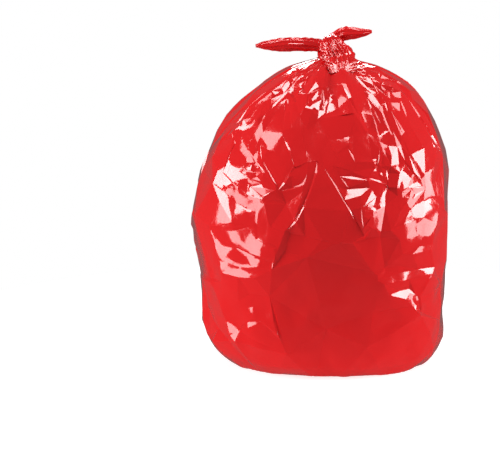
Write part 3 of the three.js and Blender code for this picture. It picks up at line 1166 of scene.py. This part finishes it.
left_strand = strand(
    "knot_left",
    from_knot(
        (2, 2, -24), (14, 9, -15), (23, -3, -7), (12, -17, -1), (-7, -18, 3), (-19, -8, 6),
        (-30, 0, 9), (-58, -4, 11), (-96, -10, 11), (-132, -15, 10), (-149, -17, 9),
    ),
    [w * MM for w in (22, 24, 25, 25, 24, 22, 23, 27, 25, 17, 6)],
    [w * MM for w in (18, 18, 18, 17, 17, 16, 14, 11, 9, 7, 4)],
    5,
    7,
)
right_strand = strand(
    "knot_right",
    from_knot(
        (-2, -2, -24), (-14, -10, -16), (-23, 2, -8), (-15, 15, 2), (-6, 10, 16), (6, 2, 26),
        (20, -4, 31), (40, -9, 32), (58, -12, 34), (66, -12, 35),
    ),
    [w * MM for w in (22, 24, 24, 24, 24, 25, 25, 19, 12, 5)],
    [w * MM for w in (18, 18, 18, 17, 16, 15, 12, 10, 7, 4)],
    4,
    11,
)
front_strand = strand(
    "knot_front",
    from_knot((-10, -4, 26), (-8, -18, 16), (-2, -28, 1), (4, -36, -12), (8, -50, -21), (9, -66, -37)),
    [w * MM for w in (22, 34, 46, 54, 56, 40)],
    [w * MM for w in (10, 20, 23, 20, 14, 8)],
    9,
    5,
    around=120,
    pleat=0.24,
    crumple=0.03,
)


# The material.

FILM_LOOK = {
    "Base Color": (0.74, 0.010, 0.012, 1.0),
    "Roughness": 0.10,
    "IOR": 1.55,
    "Specular Tint": (1.0, 0.42, 0.42, 1.0),
    "Coat Weight": 1.0,
    "Coat IOR": 1.6,
    "Coat Roughness": 0.05,
}
GRAIN_SCALES = (1.0, 1.0, 0.45)  # the fine bumps are longer up the sack


def set_sockets(node, values):
    for socket, value in values.items():
        node.inputs[socket].default_value = value


def film_material():
    material = bpy.data.materials.new("red_film")
    material.use_nodes = True
    nodes = material.node_tree.nodes
    links = material.node_tree.links
    shader = nodes["Principled BSDF"]
    set_sockets(shader, FILM_LOOK)
    where = nodes.new("ShaderNodeTexCoord")
    stretch = nodes.new("ShaderNodeMapping")
    stretch.inputs["Scale"].default_value = GRAIN_SCALES
    noise = nodes.new("ShaderNodeTexNoise")
    set_sockets(noise, {"Scale": 75.0, "Detail": 5.0})
    bump = nodes.new("ShaderNodeBump")
    set_sockets(bump, {"Strength": 0.4, "Distance": 0.0012})
    links.new(where.outputs["Object"], stretch.inputs["Vector"])
    links.new(stretch.outputs["Vector"], noise.inputs["Vector"])
    links.new(noise.outputs["Fac"], bump.inputs["Height"])
    links.new(bump.outputs["Normal"], shader.inputs["Normal"])
    return material


red_film = film_material()
for piece in (film, left_strand, right_strand, front_strand):
    piece.data.materials.append(red_film)
    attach(piece, "root")
    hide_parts("bin_bag")


# Floor, light and camera.

FLOOR_REACH = 0.9
FLOOR_SIDES = 96
FLOOR_PAINT = {
    "Base Color": (0.5, 0.5, 0.5, 1.0),
    "Roughness": 0.9,
    "Specular IOR Level": 0.0,
    "Emission Color": (1.0, 1.0, 1.0, 1.0),
    "Emission Strength": 0.8,
}
SHOWN_SURROUND = {"Color": (1.0, 1.0, 1.0, 1.0), "Strength": 1.0}  # what the camera sees
LIT_SURROUND = {"Color": (1.0, 0.8, 0.8, 1.0), "Strength": 0.14}  # what lights the sack


def make_floor():
    mesh = bpy.data.meshes.new("floor")
    angles = np.arange(FLOOR_SIDES) * 2 * math.pi / FLOOR_SIDES
    rim = [(FLOOR_REACH * math.cos(a), FLOOR_REACH * math.sin(a), 0.0) for a in angles]
    mesh.from_pydata(rim, [], [tuple(range(FLOOR_SIDES))])
    floor = bpy.data.objects.new("floor", mesh)
    bpy.context.collection.objects.link(floor)
    paint = bpy.data.materials.new("floor_paint")
    paint.use_nodes = True
    shader = paint.node_tree.nodes["Principled BSDF"]
    set_sockets(shader, FLOOR_PAINT)
    mesh.materials.append(paint)
    floor.visible_glossy = False


def make_world():
    world = bpy.data.worlds.new("studio")
    world.use_nodes = True
    nodes = world.node_tree.nodes
    links = world.node_tree.links
    shown = nodes.new("ShaderNodeBackground")
    set_sockets(shown, SHOWN_SURROUND)
    lit = nodes["Background"]
    set_sockets(lit, LIT_SURROUND)
    path = nodes.new("ShaderNodeLightPath")
    mix = nodes.new("ShaderNodeMixShader")
    links.new(path.outputs["Is Camera Ray"], mix.inputs["Fac"])
    links.new(lit.outputs["Background"], mix.inputs[1])
    links.new(shown.outputs["Background"], mix.inputs[2])
    links.new(mix.outputs["Shader"], nodes["World Output"].inputs["Surface"])
    bpy.context.scene.world = world


make_floor()
make_world()
for name, box in {**LIGHTS, **DIM_LIGHTS}.items():
    box.make(name)

lens = bpy.data.cameras.new("camera")
lens.sensor_width = SENSOR * 1000
lens.lens = LENS * 1000
camera = bpy.data.objects.new("camera", lens)
camera.location = CAMERA_AT
camera.rotation_mode = "QUATERNION"
camera.rotation_quaternion = Vector(AHEAD).to_track_quat("-Z", "Y")
bpy.context.collection.objects.link(camera)
bpy.context.scene.camera = camera
bpy.context.scene.view_settings.view_transform = "Standard"
